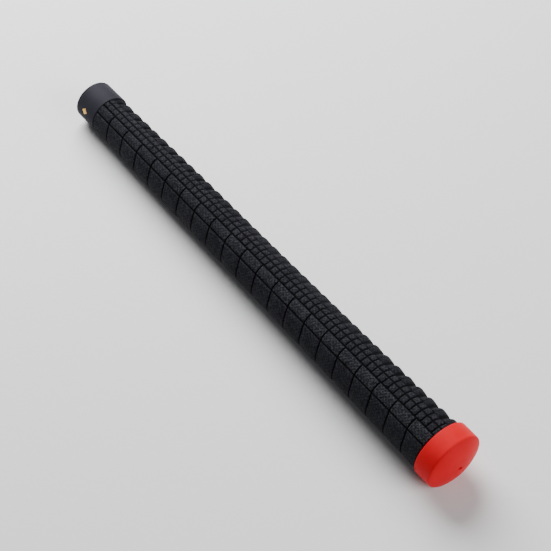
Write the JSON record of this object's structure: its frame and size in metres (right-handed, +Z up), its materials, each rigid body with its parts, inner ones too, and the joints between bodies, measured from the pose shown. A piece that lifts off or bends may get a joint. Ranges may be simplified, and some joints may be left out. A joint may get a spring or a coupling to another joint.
{
  "type": "golf grip",
  "caption": "Tapered round golf grip: black embossed polyurethane wrap on a rubber sleeve, charcoal collar at the mouth and a wider red butt cap with a vent hole.",
  "frame": {"origin": "on the bore's axis, in the plane of the mouth where the shaft goes in", "axes": "+X along the bore from the mouth to the butt cap, +Z up with the grip lying on its side"},
  "size_m": [0.267, 0.0286, 0.0286],
  "materials": {
    "sleeve_rubber": "matte moulded rubber",
    "backing_felt": "grey non-woven felt",
    "skin_polyurethane": "black embossed polyurethane with a fine leather grain",
    "seam_polyurethane": "smooth black polyurethane bead",
    "collar_rubber": "smooth charcoal rubber",
    "mark_gold": "satin gold paint",
    "cap_red": "satin red rubber"
  },
  "bodies": {
    "root": {"underlisting_sleeve": "sleeve_rubber", "felt_backing": "backing_felt", "grip_skin": "skin_polyurethane", "seam_bead": "seam_polyurethane", "mouth_collar": "collar_rubber", "collar_mark": "mark_gold", "butt_cap": "cap_red"}
  },
  "joints": []
}
